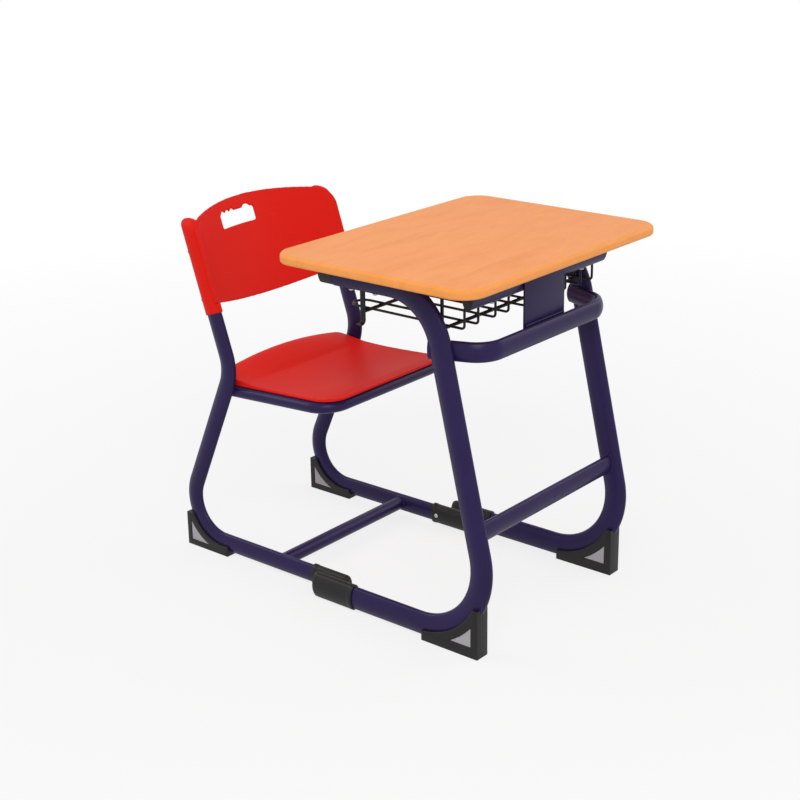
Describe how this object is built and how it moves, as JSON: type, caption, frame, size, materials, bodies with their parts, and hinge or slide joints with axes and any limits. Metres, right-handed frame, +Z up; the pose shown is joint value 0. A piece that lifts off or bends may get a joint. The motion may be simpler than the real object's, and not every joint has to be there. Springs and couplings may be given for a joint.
{
  "type": "student desk chair",
  "caption": "School desk and chair in one frame, with a wood-grain top, a wire book basket, a moulded seat and back, and floor rails on shoes.",
  "frame": {"origin": "on the floor, below the middle of the outer box", "axes": "+X across the desk to the sitter's right, +Y from the desktop back to the chair, +Z up"},
  "size_m": [0.65, 0.8779, 0.768],
  "materials": {
    "board": "wood-grain laminate, satin",
    "edge_band": "moulded polyurethane edge, satin",
    "frame": "powder coat, semi-gloss",
    "moulding": "injection moulded, fine grain",
    "inset": "injection moulded, fine grain",
    "shell": "blow moulded, soft sheen",
    "wire": "powder coat, semi-gloss",
    "fastener": "zinc plated",
    "rivet": "dark oxide"
  },
  "bodies": {
    "root": {"backrest_rivets": "rivet", "backrest_shell": "shell", "basket_front_rod": "wire", "basket_hanger_left": "wire", "basket_hanger_right": "wire", "basket_rear_rod": "wire", "basket_wire_loop_1": "wire", "basket_wire_loop_2": "wire", "basket_wire_loop_3": "wire", "basket_wire_loop_4": "wire", "basket_wire_loop_5": "wire", "chair_frame_left": "frame", "chair_frame_right": "frame", "coupler_screws": "fastener", "crossbar_support_plate": "frame", "desk_crossbar": "frame", "desk_frame_left": "frame", "desk_frame_plug_left": "moulding", "desk_frame_plug_right": "moulding", "desk_frame_right": "frame", "desktop_board": "board", "desktop_edge_band": "edge_band", "desktop_front_rail": "frame", "desktop_screws": "fastener", "floor_cross_tube": "frame", "footrest_tube": "frame", "front_rail_end_caps": "moulding", "front_shoe_inset_left": "inset", "front_shoe_inset_right": "inset", "front_shoe_left": "moulding", "front_shoe_right": "moulding", "rail_coupler_left": "moulding", "rail_coupler_right": "moulding", "rear_shoe_inset_left": "inset", "rear_shoe_inset_right": "inset", "rear_shoe_left": "moulding", "rear_shoe_right": "moulding", "seat_screws": "fastener", "seat_shell": "shell", "seat_support_tube": "frame"}
  },
  "joints": []
}
